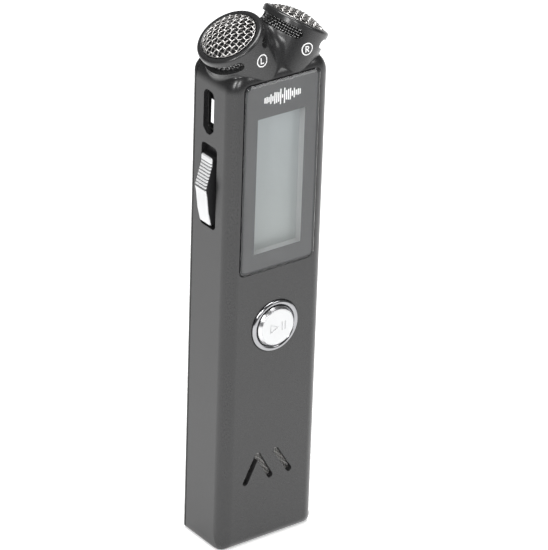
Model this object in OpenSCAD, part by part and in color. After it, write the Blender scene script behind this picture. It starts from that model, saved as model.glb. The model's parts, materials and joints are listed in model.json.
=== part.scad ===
// Portable field recorder with two angled microphones, standing upright on its bottom.
// Millimetres. The origin is the middle of the flat bottom, +Z runs up the case, -Y is the
// display side and -X the side with the record slider.

/* [Case] */
// Width across the sides
body_w = 22.3; // [22:0.1:22.6]
// Depth from the front face to the back face
body_d = 12.6; // [12.6:0.1:13]
// Height of the case's flat top, between the microphones
body_h = 100.1; // [100.1:0.1:103]
// Wall thickness
wall = 1.2; // [1.1:0.05:1.2]
// Radius of the upright front edges
front_r = 2.6; // [2:0.1:2.6]
// Radius of the shoulders, seen from the front
shoulder_r = 4.2; // [3.8:0.1:4.6]
// Thickness of the back cover
cover_t = 0.9; // [0.8:0.05:0.9]

/* [Microphones] */
// Tilt of each microphone from upright, in degrees
mic_tilt = 31.4; // [30:0.1:33]
// Distance of each microphone's rim centre from the middle
mic_x = 7.7; // [7.5:0.1:7.8]
// Outer radius of a barrel
barrel_r = 6.5; // [6.4:0.05:6.5]
// Radius of the mouth that the wire dome fills
mouth_r = 5.3; // [5:0.05:5.3]
// Height of the wire dome above the rim
dome_rise = 1.4; // [1:0.1:1.7]

/* [Display] */
// Width of the raised lens
lens_w = 16.95; // [16.5:0.05:17]
// Length of the raised lens
lens_l = 38.65; // [38:0.05:39]
// Height of the lens above the front face
lens_rise = 0.5; // [0.3:0.05:0.6]
// Width of the visible display
view_w = 10.8; // [10:0.1:11]
// Length of the visible display
view_l = 27.6; // [26:0.1:28]

/* [Controls] */
// Height of the play button's centre
button_z = 46.6; // [45:0.1:47]
// Radius of the play button
button_r = 4.1; // [3.8:0.05:4.1]
// Outer radius of the ring round the play button
ring_r = 5.3; // [5.1:0.05:5.4]
// Travel of the play button and of the side keys
press_travel = 0.3; // [0.2:0.05:0.3]
// Length of the record slider's knob
knob_l = 14; // [13.5:0.1:14]
// Travel of the record slider
slider_travel = 1.8; // [1.5:0.1:1.8]

/* [Speaker] */
// Width of a speaker slot
slot_w = 1.23; // [1:0.01:1.3]

/* [Hidden] */
$fn = 64;

// Case
seam_gap = 0.2;
front_y = -body_d / 2;
back_y = body_d / 2;
seam_y = back_y - cover_t - seam_gap;
inner_x = body_w / 2 - wall;
inner_front = front_y + wall;
inner_top = body_h - 2.2;
bottom_r = 1;
cut = 20;

// Microphones, along their own axes: 0 at the rim's plane, negative inwards
mic_y = 0.2;
mic_z = body_h + 5.05;
barrel_l = 9.5;
rim_round = 0.55;
lip_t = 0.45;
bore_r = 5.55;
bore_l = 5.1;
lead_bore_r = 3.2;
flange_t = 0.5;
slot_top = -1.3;
slot_h = 1.9;
capsule_r = 4;
capsule_low = -4.2;
capsule_high = -1.1;
boot_top = -3.45;
insert_r = bore_r - 0.05;
slot_half = 68;

// Display
lens_r = 1.15;
lens_mid = body_h - 2.5 - lens_l / 2;
lens_seat = 0.6;
mask_t = 0.1;
mask_inset = 0.55;
view_mid = lens_mid - 1.73;
window = [14, 31];
frame_depth = 1.9;
lcd_size = [15.2, 32.6];
lcd_t = 1.4;
lcd_front = front_y + frame_depth;

// Board and what stands on it
board_front = -0.85;
board_back = 0.15;
board_x = 8.6;
board_low = 2;
board_top = 94.5;
lead_w = 0.6;
board_screw_at = [[-7.3, 9.2], [7.3, 9.2], [-5.8, 55.5], [5.8, 55.5]];
cover_screw_at = [[-7.6, 5.2], [7.6, 5.2]];
board_screw_r = 0.5;
cover_screw_r = 0.6;

// Play button
ring_in = button_r + 0.1;
ring_seat = 0.65;
button_face = front_y - 1;
switch_tip = -3.3;
stem_gap = 0.05;

// Record slider, on the left side
slider_y = 1;
knob_low = 67.95;
knob_w = 3.55;
opening_low = 67.4;
opening_high = 84.1;
opening_y = 0.58;
opening_w = 4.85;
carrier_x = -inner_x + 0.1;
carrier_t = 0.5;
ridge_up = 7.7;
ridge_rise = 1.65;
lever_z = 74.8;
lever_w = 0.7;
lever_h = 1;

// Side keys, on the right side
key_y = 1.05;
key_w = 2.4;
key_l = 6;
key_pitch = 8.5;
key_low = 62.5;
key_proud = 0.4;

// Sockets
usb_y = 1.4;
usb_z = 90.5;
usb_w = 2.45;
usb_l = 7.5;
usb_front = usb_y - 1.95;
usb_rear = usb_y + usb_w / 2 + 0.05;
usb_mouth = -body_w / 2 + 0.9;
jack_y = 2.2;
jack_bore_r = 1.77;
jack_top = 13;
jack_nose_r = 2.4;

// Speaker slots: the ends of each slot's middle line, as [x, z]
slots = [[[-5.66, 14.1], [-3.1, 19.2]], [[-2.8, 19.2], [0.12, 14.1]], [[1.35, 19.2], [4.6, 14.1]]];
speaker_at = [-0.53, 16.7];

// Rectangle from low to high with its own radius at each corner: lower left, lower right,
// upper right, upper left
module panel(low, high, r) {
    corner = [[low.x, low.y], [high.x, low.y], [high.x, high.y], [low.x, high.y]];
    inward = [[1, 1], [-1, 1], [-1, -1], [1, -1]];
    difference() {
        translate(low) square(high - low);
        for (i = [0:3])
            translate(corner[i] + r[i] * (inward[i] - [1, 1]) / 2) square(r[i]);
    }
    for (i = [0:3])
        translate(corner[i] + r[i] * inward[i]) circle(r[i]);
}

// Rectangle about the middle at, with one corner radius
module plate(at, size, r) {
    panel(at - size / 2, at + size / 2, [r, r, r, r]);
}

// Bar with round ends, between the points a and b
module bar(a, b, w) {
    along = b - a;
    translate(a) rotate(atan2(along.y, along.x)) {
        translate([0, -w / 2]) square([norm(along), w]);
        for (end = [0, norm(along)]) translate([end, 0]) circle(w / 2);
    }
}

// A drawing in X and Z, made solid from y = low to y = high
module along_y(low, high) {
    translate([0, high, 0]) rotate([90, 0, 0]) linear_extrude(high - low) children();
}

// A drawing in Y and Z, made solid from x = low to x = high
module along_x(low, high) {
    translate([low, 0, 0]) rotate([90, 0, 90]) linear_extrude(high - low) children();
}

// Round bar along Y at x and z, from y = low to y = high
module round_y(at, low, high, r) {
    translate([at.x, high, at.y]) rotate([90, 0, 0]) cylinder(h = high - low, r = r);
}

// Box from one corner to the other
module block(low, high) {
    translate(low) cube(high - low);
}

// Flat drawing of a wire through a list of points
module route(points, w) {
    for (i = [0:len(points) - 2]) bar(points[i], points[i + 1], w);
}

// Puts its children in a microphone's own frame: side 1 is the right one and -1 the left
module at_mic(side) {
    mirror([side < 0 ? 1 : 0, 0, 0])
        translate([mic_x, mic_y, mic_z]) rotate([0, mic_tilt, 0]) children();
}

module tube(r_out, r_in, low, high) {
    translate([0, 0, low]) difference() {
        cylinder(h = high - low, r = r_out);
        translate([0, 0, -1]) cylinder(h = high - low + 2, r = r_in);
    }
}

// The whole case's outer form, without the microphones
module case_form() {
    intersection() {
        linear_extrude(body_h)
            panel([-body_w / 2, front_y], [body_w / 2, back_y], [front_r, front_r, 0.8, 0.8]);
        along_y(front_y - 1, back_y + 1)
            panel([-body_w / 2, 0], [body_w / 2, body_h], [bottom_r, bottom_r, shoulder_r, shoulder_r]);
        along_x(-body_w, body_w)
            panel([front_y, 0], [back_y, body_h], [1.8, 0.8, 0.8, front_r]);
    }
}

module barrel() {
    rotate_extrude() {
        translate([0, -barrel_l]) square([barrel_r, barrel_l - rim_round]);
        translate([0, -rim_round]) square([barrel_r - rim_round, rim_round]);
        translate([barrel_r - rim_round, -rim_round]) circle(rim_round);
    }
}

// Bores and acoustic slots of one microphone barrel
module barrel_cuts() {
    translate([0, 0, -1]) cylinder(h = 2, r = mouth_r);
    translate([0, 0, -bore_l]) cylinder(h = bore_l - lip_t, r = bore_r);
    translate([0, 0, -barrel_l - 1]) cylinder(h = barrel_l, r = lead_bore_r);
    for (start = [-slot_half, 180 - slot_half])
        rotate(start) rotate_extrude(angle = 2 * slot_half)
            translate([bore_r - 0.2, slot_top - slot_h]) square([2, slot_h]);
}

module shell_bosses() {
    for (at = board_screw_at) round_y(at, inner_front - 0.1, board_front, 1.3);
    for (at = cover_screw_at) round_y(at, inner_front - 0.1, seam_y + seam_gap, 1.7);
}

// Holes of the front: window, play button and speaker slots
module front_cuts() {
    along_y(front_y - 1, front_y + lens_seat)
        plate([0, lens_mid], [lens_w + 0.1, lens_l + 0.1], lens_r);
    along_y(front_y - 1, inner_front + 1) plate([0, view_mid], window, 0.5);
    round_y([0, button_z], front_y - 1, inner_front + 1, ring_in + 0.05);
    round_y([0, button_z], front_y - 1, front_y + ring_seat, ring_r + 0.05);
    for (slot = slots) along_y(front_y - 1, inner_front + 1) bar(slot[0], slot[1], slot_w);
}

// Outline of the USB opening in Y and Z: round at the top, tapered at the bottom
module usb_opening() {
    middle = (usb_front + usb_rear) / 2;
    low = usb_z - usb_l / 2 - 0.65;
    panel([usb_front, low + 1.4], [usb_rear, usb_z + usb_l / 2 + 0.65], [0.2, 0.2, 1.2, 1.2]);
    polygon([[usb_front, low + 1.7], [usb_front, low + 1], [middle - 0.5, low],
        [middle + 0.5, low], [usb_rear, low + 1], [usb_rear, low + 1.7]]);
}

// Holes of the sides and the bottom: USB, slider, keys and headphones
module side_cuts() {
    along_x(-body_w, -inner_x + 1) {
        usb_opening();
        panel([opening_y - opening_w / 2, opening_low], [opening_y + opening_w / 2, opening_high],
            [0.9, 0.9, 0.9, 0.9]);
    }
    for (i = [0:3])
        along_x(inner_x - 1, body_w) key_outline(i, 0.2);
    translate([0, jack_y, -1]) cylinder(h = 4, r = jack_nose_r + 0.05);
}

module front_shell() {
    color("#4a4c4f") difference() {
        union() {
            difference() {
                union() {
                    case_form();
                    for (side = [-1, 1]) at_mic(side) barrel();
                }
                along_y(inner_front, back_y + cut)
                    panel([-inner_x, wall], [inner_x, inner_top], [1, 1, 3.2, 3.2]);
                // Room for the back cover
                block([-cut, seam_y, -1], [cut, cut, body_h + seam_gap]);
            }
            shell_bosses();
        }
        for (side = [-1, 1]) at_mic(side) barrel_cuts();
        front_cuts();
        side_cuts();
        for (at = board_screw_at) round_y(at, inner_front + 1.5, cut, board_screw_r);
        for (at = cover_screw_at) round_y(at, 1.4, cut, cover_screw_r);
    }
}

module rear_cover() {
    rib_x = inner_x - 0.5;
    rib_back = seam_y + seam_gap + 0.1;
    color("#4a4c4f") difference() {
        union() {
            intersection() {
                case_form();
                block([-cut, seam_y + seam_gap, -1], [cut, cut, body_h + 1]);
            }
            // Ribs that centre the cover between the walls
            for (x = [-rib_x, rib_x]) block([x - 0.4, seam_y - 0.9, 9], [x + 0.4, rib_back, 92]);
            block([-6, seam_y - 0.9, inner_top - 0.9], [6, rib_back, inner_top - 0.1]);
        }
        for (at = cover_screw_at) {
            round_y(at, 0, cut, cover_screw_r + 0.1);
            translate([at.x, back_y - 0.7, at.y]) rotate([-90, 0, 0])
                cylinder(h = 0.71, r1 = cover_screw_r + 0.1, r2 = 1.35);
        }
    }
}

// Two countersunk cross-slot screws that hold the back cover
module cover_screws() {
    color("#3c3d40") for (at = cover_screw_at) difference() {
        union() {
            round_y(at, 1.8, back_y - 0.1, cover_screw_r);
            translate([at.x, back_y - 0.65, at.y]) rotate([-90, 0, 0]) cylinder(h = 0.6, r1 = 0.6, r2 = 1.2);
        }
        for (turn = [0, 90])
            translate([at.x, back_y, at.y]) rotate([0, turn, 0]) cube([1.5, 0.7, 0.3], center = true);
    }
}

module display_lens() {
    color("#5d6063") along_y(front_y - lens_rise, front_y)
        plate([0, lens_mid], [lens_w, lens_l], lens_r);
}

// Dark print on the back of the lens, open over the display
module lens_mask() {
    color("#303236") along_y(front_y, front_y + mask_t) difference() {
        plate([0, lens_mid], [lens_w - 2 * mask_inset, lens_l - 2 * mask_inset], 0.7);
        translate([-view_w / 2, view_mid - view_l / 2]) square([view_w, view_l]);
    }
}

module lens_tape() {
    color("#1d1e20") along_y(front_y + mask_t, front_y + lens_seat) difference() {
        plate([0, lens_mid], [lens_w - 0.4, lens_l - 0.4], 1);
        plate([0, view_mid], window + [0.2, 0.2], 0.5);
    }
}

// Light frame between the mask and the display glass, with a flange behind the front wall
module display_frame() {
    color("#c6c8c8") difference() {
        union() {
            along_y(front_y + mask_t, lcd_front) plate([0, view_mid], window - [0.1, 0.1], 0.45);
            along_y(inner_front, lcd_front) plate([0, view_mid], lcd_size + [0.6, 0.6], 0.5);
        }
        along_y(front_y - 1, lcd_front + 1)
            translate([-view_w / 2 - 0.2, view_mid - view_l / 2 - 0.2]) square([view_w + 0.4, view_l + 0.4]);
    }
}

module lcd_panel() {
    color("#abafae") along_y(lcd_front, lcd_front + lcd_t) plate([0, view_mid], lcd_size, 0.3);
}

// Ribbon from the lower edge of the display glass back to the board
module display_flex() {
    top = view_mid - lcd_size.y / 2;
    rear = board_front;
    ribbon = [
        [lcd_front + 1, top], [lcd_front + 1.12, top], [lcd_front + 1.12, top - 1.6],
        [rear, top - 2.6], [rear, top - 5], [rear - 0.12, top - 5],
        [rear - 0.12, top - 2.7], [lcd_front + 1, top - 1.75]
    ];
    color("#b5762f") along_x(-4, 4) polygon(ribbon);
}

// Half-round polished ring, seated in the front wall
module play_ring() {
    half = (ring_r - ring_in) / 2;
    color("#d9dadb") translate([0, front_y, button_z]) rotate([90, 0, 0]) rotate_extrude() {
        translate([ring_in, -ring_seat]) square([2 * half, ring_seat - 0.05]);
        translate([ring_in + half, -0.05]) circle(half);
    }
}

module play_button() {
    color("#eef0f0") difference() {
        union() {
            round_y([0, button_z], button_face, inner_front + 0.2, button_r);
            round_y([0, button_z], inner_front + 0.05, inner_front + 0.65, button_r + 0.7);
            round_y([0, button_z], inner_front + 0.6, switch_tip - press_travel - stem_gap, 1.3);
        }
        // Engraved triangle and two bars
        along_y(button_face - 1, button_face + 0.12) translate([0, button_z]) {
            for (x = [0.9, 1.6]) translate([x, -0.95]) square([0.22, 1.9]);
            difference() {
                polygon([[-1.7, -1.05], [0.25, 0], [-1.7, 1.05]]);
                polygon([[-1.48, -0.68], [-0.22, 0], [-1.48, 0.68]]);
            }
        }
    }
}

module play_switch() {
    color("#2b2c2e") {
        along_y(switch_tip + 0.8, board_front) plate([0, button_z], [4.6, 4.6], 0.4);
        round_y([0, button_z], switch_tip, switch_tip + 0.9, 1.1);
    }
}

// Profile of the knob in X and Z: it rises to a ridge, and its neck ends on the carrier
module knob_profile() {
    face = -body_w / 2;
    top = knob_low + knob_l;
    ridge = knob_low + ridge_up;
    polygon([
        [carrier_x, knob_low], [face - 0.2, knob_low], [face - 0.4, knob_low + 0.5],
        [face - 1, knob_low + 3], [face - 1.4, ridge - 1.4], [face - ridge_rise, ridge - 0.3],
        [face - ridge_rise, ridge + 0.3], [face - 0.4, ridge + 4.7], [face - 0.4, top - 0.2],
        [face - 0.2, top], [carrier_x, top]
    ]);
}

// Knob with ribs above its ridge, and its neck through the opening
module rec_slider() {
    color("#e9ebeb") difference() {
        along_y(slider_y - knob_w / 2, slider_y + knob_w / 2) knob_profile();
        for (i = [0:7])
            translate([-body_w / 2 - ridge_rise + 0.05 + i * 0.165, 0, knob_low + ridge_up + 0.55 + i * 0.6])
                cube([0.3, 3 * knob_w, 0.2], center = true);
    }
}

// Plate that slides behind the wall under the knob
module slider_carrier() {
    color("#1c1d1f") {
        along_x(carrier_x, carrier_x + carrier_t)
            panel([opening_y - 2.9, 66], [opening_y + 2.9, 84.6], [0.5, 0.5, 0.5, 0.5]);
        // Prongs that hold the switch's lever
        for (side = [-1, 1])
            translate([carrier_x + carrier_t + 0.25, slider_y, lever_z + side * (lever_h / 2 + 0.4)])
                cube([0.6, 1, 0.8], center = true);
    }
}

module switch_lever() {
    color("#d8d4c8") block(
        [carrier_x + carrier_t + 0.05, slider_y - lever_w / 2, lever_z - lever_h / 2],
        [-7.4, slider_y + lever_w / 2, lever_z + lever_h / 2]
    );
}

module slide_switch() {
    color("#b9bcbe") difference() {
        block([-8.5, board_back, 71], [-5.3, 2, 79]);
        block([-9, slider_y - lever_w / 2 - 0.05, lever_z - lever_h / 2 - 0.4],
            [-7.2, slider_y + lever_w / 2 + 0.05, lever_z + lever_h / 2 + slider_travel + 0.4]);
    }
}

// Outline of side key i in Y and Z, grown by extra
module key_outline(i, extra = 0) {
    z = key_low + i * key_pitch;
    half = (key_l - key_w) / 2;
    bar([key_y, z - half], [key_y, z + half], key_w + extra);
}

module side_key(i) {
    color("#55575a") {
        along_x(inner_x - 0.2, body_w / 2 + key_proud) key_outline(i);
        along_x(inner_x - 0.45, inner_x - 0.1) key_outline(i, 0.8);
    }
}

module volume_key() { side_key(0); }
module next_key() { side_key(1); }
module previous_key() { side_key(2); }
module menu_key() { side_key(3); }

module key_switches() {
    color("#2b2c2e") for (i = [0:3]) translate([0, 0, key_low + i * key_pitch]) {
        block([5.2, board_back, -2], [8.3, 1.95, 2]);
        translate([8.2, key_y, 0]) rotate([0, 90, 0]) cylinder(h = inner_x - 0.85 - 8.2, r = 0.5);
    }
}

// Metal shell of the USB socket. Its front wall runs out to the opening and flares there
module usb_socket() {
    face = -body_w / 2 + 0.1;
    low = [usb_y - usb_w / 2, usb_z - usb_l / 2];
    high = [usb_y + usb_w / 2, usb_z + usb_l / 2];
    color("#c9ccce") {
        difference() {
            along_x(usb_mouth, usb_mouth + 5) panel(low, high, [0.8, 0.8, 0.5, 0.5]);
            along_x(usb_mouth - 1, usb_mouth + 4.6)
                panel(low + [0.25, 0.25], high - [0.25, 0.25], [0.6, 0.6, 0.3, 0.3]);
        }
        block([face, low.x, usb_z - 1.75], [usb_mouth + 0.2, low.x + 0.25, usb_z + 3]);
        block([face, usb_front + 0.12, usb_z - 1.75], [face + 0.2, low.x + 0.1, usb_z + 3]);
    }
}

module usb_tongue() {
    color("#1f2022")
        block([usb_mouth + 0.8, usb_y + 0.1, usb_z - 2.6], [usb_mouth + 4.6, usb_y + 0.7, usb_z + 2.6]);
}

// 3.5 mm socket, with its nose in the bottom wall
module headphone_jack() {
    color("#27282a") difference() {
        union() {
            block([-3, board_back, wall], [3, jack_y * 2 - board_back, jack_top]);
            translate([0, jack_y, 0.15]) cylinder(h = wall, r = jack_nose_r);
        }
        translate([0, jack_y, -1]) cylinder(h = jack_top + 0.5, r = jack_bore_r);
    }
}

module main_board() {
    color("#1f5a3c") difference() {
        union() {
            block([-board_x, board_front, 7.2], [board_x, board_back, board_top]);
            block([-5.6, board_front, board_low], [5.6, board_back, 8]);
        }
        for (at = board_screw_at) round_y(at, board_front - 1, board_back + 1, board_screw_r + 0.1);
    }
}

// Box on the board's front face (side -1) or back face (side 1), given as [x, z, width, length, height]
module chip(box, side) {
    low = side < 0 ? board_front - box[4] : board_back;
    translate([box[0] - box[2] / 2, low, box[1] - box[3] / 2]) cube([box[2], box[4], box[3]]);
}

module processor() {
    color("#222325") chip([0, 34.5, 7, 7, 0.9], -1);
}

module memory_chip() {
    color("#222325") chip([1, 66, 8, 11, 1], 1);
}

// Small passive parts, as separate boxes
module board_parts() {
    front = [[-5.6, 31, 1.6, 0.9, 0.6], [-5.6, 34, 1.6, 0.9, 0.6], [-5.6, 37, 1.6, 0.9, 0.6],
        [5.6, 31, 0.9, 1.6, 0.6], [5.6, 36, 3.2, 2.5, 0.8], [-4, 41.5, 2, 1.2, 0.7], [6.6, 42, 1.6, 0.9, 0.6],
        [-6.6, 46, 2.5, 2.5, 1], [6, 25.5, 2, 1.2, 0.7]];
    rear = [[-3, 81, 3, 3, 0.9], [1.5, 80.5, 1.6, 0.9, 0.6], [1.5, 83, 1.6, 0.9, 0.6], [-2, 87, 2, 1.2, 0.7],
        [2.5, 89, 4, 4, 0.9], [-1, 92, 1.6, 0.9, 0.6]];
    color("#8a7a5c") {
        for (box = front) chip(box, -1);
        for (box = rear) chip(box, 1);
    }
}

module board_screws() {
    color("#b8babc") for (at = board_screw_at) difference() {
        union() {
            round_y(at, inner_front + 1.8, board_back + 0.1, board_screw_r);
            round_y(at, board_back, board_back + 0.6, 1);
        }
        translate([at.x, board_back + 0.6, at.y]) cube([1.4, 0.5, 0.25], center = true);
    }
}

module battery() {
    color("#9aa0a6") block([-7, 0.35, 15], [7, 4.55, 51]);
}

module battery_tape() {
    color("#e8e4d0") block([-5, board_back, 18], [5, 0.35, 48]);
}

module battery_pad() {
    color("#2a2b2d") block([-5, 4.55, 20], [5, seam_y + seam_gap, 46]);
}

module battery_leads() {
    rest = board_back + lead_w / 2 + 0.02;
    path = [[2.6, 51.3], [2.6, 52.8], [rest, 54.4], [rest, 55.4]];
    color("#a02a22") for (x = [-2.8, -1.2]) along_x(x, x + lead_w) route(path, lead_w);
}

// Oblong speaker: frame and magnet
module speaker() {
    half = [2.6, 0];
    color("#37383b") {
        along_y(inner_front + 0.2, -2.3) bar(speaker_at - half, speaker_at + half, 9.6);
        round_y(speaker_at, -2.4, -1.2, 3.6);
    }
}

module speaker_mesh() {
    color("#8f9193") along_y(inner_front, inner_front + 0.2) plate(speaker_at, [13.2, 8.8], 0.6);
}

module speaker_leads() {
    rest = board_front - lead_w / 2 - 0.02;
    path = [[-2.7, 21.75], [-2.7, 22.6], [rest, 24], [rest, 25]];
    color("#a02a22") for (x = [-3.2, 2.2]) along_x(x, x + lead_w) route(path, lead_w);
}

// Wire dome over a capsule, with the flange that holds it under the rim's lip
module mic_mesh(side) {
    neck_r = mouth_r - 0.05;
    sphere_r = (neck_r * neck_r + dome_rise * dome_rise) / (2 * dome_rise);
    color("#b9bbbd") at_mic(side) rotate_extrude() {
        intersection() {
            translate([0, dome_rise - sphere_r]) difference() {
                circle(sphere_r, $fn = 128);
                circle(sphere_r - 0.35, $fn = 128);
            }
            square([neck_r, dome_rise + 1]);
        }
        translate([neck_r - 0.35, -lip_t - flange_t]) square([0.35, lip_t + flange_t + 0.1]);
        translate([neck_r - 0.35, -lip_t - flange_t]) square([insert_r - neck_r + 0.35, flange_t]);
    }
}

module mic_mesh_left() { mic_mesh(-1); }
module mic_mesh_right() { mic_mesh(1); }

// Mesh sleeve behind the acoustic slots
module slot_mesh(side) {
    color("#8f9193") at_mic(side) tube(insert_r, insert_r - 0.25, boot_top, -lip_t - flange_t);
}

module slot_mesh_left() { slot_mesh(-1); }
module slot_mesh_right() { slot_mesh(1); }

module mic_capsule(side) {
    color("#a8abad") at_mic(side) translate([0, 0, capsule_low])
        cylinder(h = capsule_high - capsule_low, r = capsule_r);
}

module mic_capsule_left() { mic_capsule(-1); }
module mic_capsule_right() { mic_capsule(1); }

// Rubber cup that holds a capsule in its barrel
module mic_boot(side) {
    color("#26272a") at_mic(side) {
        tube(insert_r, capsule_r, capsule_low, boot_top);
        tube(insert_r, 1.5, -bore_l + 0.05, capsule_low);
    }
}

module mic_boot_left() { mic_boot(-1); }
module mic_boot_right() { mic_boot(1); }

// Leads from the capsules down to the board's back face
module mic_leads() {
    depth = 9.4;
    start = [mic_x + (capsule_low - 0.3) * sin(mic_tilt), mic_z + (capsule_low - 0.3) * cos(mic_tilt)];
    turn = [mic_x - depth * sin(mic_tilt), mic_z - depth * cos(mic_tilt)];
    color("#7c2f2a") for (m = [0, 1]) mirror([m, 0, 0])
        along_y(board_back + 0.02, board_back + 0.02 + lead_w)
            route([start, turn, [turn.x, board_top - 2]], lead_w);
}

front_shell();
rear_cover();
cover_screws();
display_lens();
lens_mask();
lens_tape();
display_frame();
lcd_panel();
display_flex();
play_ring();
play_button();
play_switch();
rec_slider();
slider_carrier();
switch_lever();
slide_switch();
menu_key();
previous_key();
next_key();
volume_key();
key_switches();
usb_socket();
usb_tongue();
headphone_jack();
main_board();
processor();
memory_chip();
board_parts();
board_screws();
battery();
battery_tape();
battery_pad();
battery_leads();
speaker();
speaker_mesh();
speaker_leads();
mic_mesh_left();
mic_mesh_right();
slot_mesh_left();
slot_mesh_right();
mic_capsule_left();
mic_capsule_right();
mic_boot_left();
mic_boot_right();
mic_leads();
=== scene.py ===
"""Looks for the portable field recorder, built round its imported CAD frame.

Lengths are in millimetres in the CAD's own frame, and are turned into metres where a mesh is made.
"""

import json
import math

import bmesh
import bpy
import numpy as np
from mathutils import Matrix, Vector

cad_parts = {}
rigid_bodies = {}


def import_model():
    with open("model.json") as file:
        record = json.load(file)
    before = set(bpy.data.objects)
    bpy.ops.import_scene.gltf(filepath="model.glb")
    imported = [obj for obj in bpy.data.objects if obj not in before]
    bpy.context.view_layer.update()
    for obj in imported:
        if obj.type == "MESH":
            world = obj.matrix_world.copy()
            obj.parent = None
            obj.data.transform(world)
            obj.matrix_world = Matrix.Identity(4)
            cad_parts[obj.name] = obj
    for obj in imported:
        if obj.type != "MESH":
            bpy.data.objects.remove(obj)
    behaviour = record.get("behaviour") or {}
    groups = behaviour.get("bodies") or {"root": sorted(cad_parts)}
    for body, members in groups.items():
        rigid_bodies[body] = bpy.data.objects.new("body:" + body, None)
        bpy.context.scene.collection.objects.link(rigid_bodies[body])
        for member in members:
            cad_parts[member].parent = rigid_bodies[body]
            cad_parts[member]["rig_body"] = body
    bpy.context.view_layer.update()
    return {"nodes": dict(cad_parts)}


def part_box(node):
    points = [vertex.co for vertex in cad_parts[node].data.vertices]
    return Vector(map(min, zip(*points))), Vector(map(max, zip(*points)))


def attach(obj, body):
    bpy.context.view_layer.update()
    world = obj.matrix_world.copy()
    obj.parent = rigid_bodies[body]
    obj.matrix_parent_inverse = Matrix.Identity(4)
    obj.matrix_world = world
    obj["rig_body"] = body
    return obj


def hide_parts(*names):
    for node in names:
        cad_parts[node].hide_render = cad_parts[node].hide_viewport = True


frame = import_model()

MM = 0.001


def box_mm(node):
    """Lowest and highest corner of a CAD node, in millimetres."""
    low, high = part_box(node)
    return np.array(low) / MM, np.array(high) / MM


# ---------------------------------------------------------------- sizes from the frame

COVER_HIGH = box_mm("rear_cover")[1]
LENS_LOW, LENS_HIGH = box_mm("display_lens")
RING_LOW, RING_HIGH = box_mm("play_ring")
BUTTON_LOW = box_mm("play_button")[0]
KNOB_LOW, KNOB_HIGH = box_mm("rec_slider")
USB_LOW, USB_HIGH = box_mm("usb_socket")
FRAME_LOW, FRAME_HIGH = box_mm("display_frame")
SPEAKER_LOW, SPEAKER_HIGH = box_mm("speaker_mesh")

HALF_W = COVER_HIGH[0]
BODY_H = COVER_HIGH[2]
FRONT_Y = LENS_HIGH[1]
LENS_Y = LENS_LOW[1]
SEAM_GAP = 0.2
SEAM_Y = -FRONT_Y - 0.9 - SEAM_GAP
WALL = 1.2

# Rounds of the case
FRONT_R = 2.6
SHOULDER_R = 4.2
BOTTOM_FRONT_R = 1.8
BOTTOM_R = 1

# Microphones, each along its own axis: 0 at the rim's plane, negative inwards
MIC_TILT = math.radians(31.4)
MIC_AT = np.array([7.7, 0.2, BODY_H + 5.05])
BARREL_R = 6.5
BARREL_L = 9.5
RIM_ROUND = 0.55
MOUTH_R = 5.3
LIP = 0.45
BORE_R = 5.55
SLOT_OUT = BORE_R + 1.8
BORE_L = 5.1
SLOT_MID = -2.25
SLOT_HALF_H = 0.95
SLOT_ARC = math.radians(68)
DOME_RISE = 1.2

# Openings of the case
KNOB_Y = (KNOB_LOW[1] + KNOB_HIGH[1]) / 2
OPENING_Y = 0.58
OPENING_W = 4.85
OPENING_Z = (67.4, 84.1)
SPEAKER_SLOTS = (
    ((-5.66, 14.1), (-3.1, 19.2)),
    ((-2.8, 19.2), (0.12, 14.1)),
    ((1.35, 19.2), (4.6, 14.1)),
)
SLOT_W = 1.23
LENS_GAP = 0.18


# ---------------------------------------------------------------- camera

CAMERA_AZIMUTH = math.radians(37.22)
CAMERA_ELEVATION = math.radians(27.455)
CAMERA_ROLL = math.radians(1.982)
CAMERA_TARGET = Vector((4.245, 0, 53.208)) * MM
CAMERA_DISTANCE = 740.4 * MM
CAMERA_LENS = 257.4


def make_camera():
    """Camera at the photograph's viewing angle."""
    a, e, roll = CAMERA_AZIMUTH, CAMERA_ELEVATION, CAMERA_ROLL
    back = Vector((-math.sin(a) * math.cos(e), -math.cos(a) * math.cos(e), math.sin(e)))
    right = Vector((math.cos(a), -math.sin(a), 0))
    up = back.cross(right)
    turned_right = math.cos(roll) * right + math.sin(roll) * up
    turned_up = back.cross(turned_right)
    camera = bpy.data.objects.new("camera", bpy.data.cameras.new("camera"))
    bpy.context.scene.collection.objects.link(camera)
    axes = Matrix((turned_right, turned_up, back)).transposed()
    camera.matrix_world = Matrix.Translation(CAMERA_TARGET + CAMERA_DISTANCE * back) @ axes.to_4x4()
    camera.data.lens = CAMERA_LENS
    camera.data.clip_start = 0.01
    camera.data.clip_end = 20
    bpy.context.scene.camera = camera


# ---------------------------------------------------------------- materials


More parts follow.
